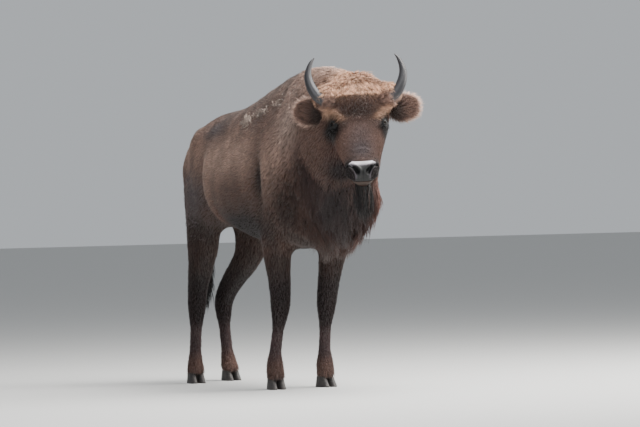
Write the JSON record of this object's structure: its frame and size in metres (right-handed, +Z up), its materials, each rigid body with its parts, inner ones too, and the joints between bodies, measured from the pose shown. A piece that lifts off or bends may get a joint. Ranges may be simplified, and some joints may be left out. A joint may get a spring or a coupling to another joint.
{
  "type": "wisent",
  "caption": "Young wisent (European bison) standing, head turned to its right, with horns, beard, mane and tufted tail; still life-size model.",
  "frame": {"origin": "on the floor, under the middle of the whole animal's bounding box", "axes": "+Z up; the animal faces -Y, and +X is its left side"},
  "size_m": [0.545, 1.9178, 1.4984],
  "materials": {
    "coat": "dense brown fur, matt",
    "dark_coat": "dark brown hair, matt",
    "pale_coat": "woolly tan hair, matt",
    "horn": "satin grey-black horn",
    "hoof": "dull dark horn with dried mud",
    "eye": "wet gloss"
  },
  "bodies": {
    "root": {"beard": "dark_coat", "ear_left": "pale_coat", "ear_right": "pale_coat", "eye_left": "eye", "eye_right": "eye", "foreleg_left": "dark_coat", "foreleg_right": "dark_coat", "head": "coat", "hindleg_left": "dark_coat", "hindleg_right": "dark_coat", "hoof_fore_left_inner": "hoof", "hoof_fore_left_outer": "hoof", "hoof_fore_right_inner": "hoof", "hoof_fore_right_outer": "hoof", "hoof_hind_left_inner": "hoof", "hoof_hind_left_outer": "hoof", "hoof_hind_right_inner": "hoof", "hoof_hind_right_outer": "hoof", "horn_left": "horn", "horn_right": "horn", "neck": "coat", "tail": "dark_coat", "tail_tuft": "dark_coat", "trunk": "coat"}
  },
  "joints": []
}
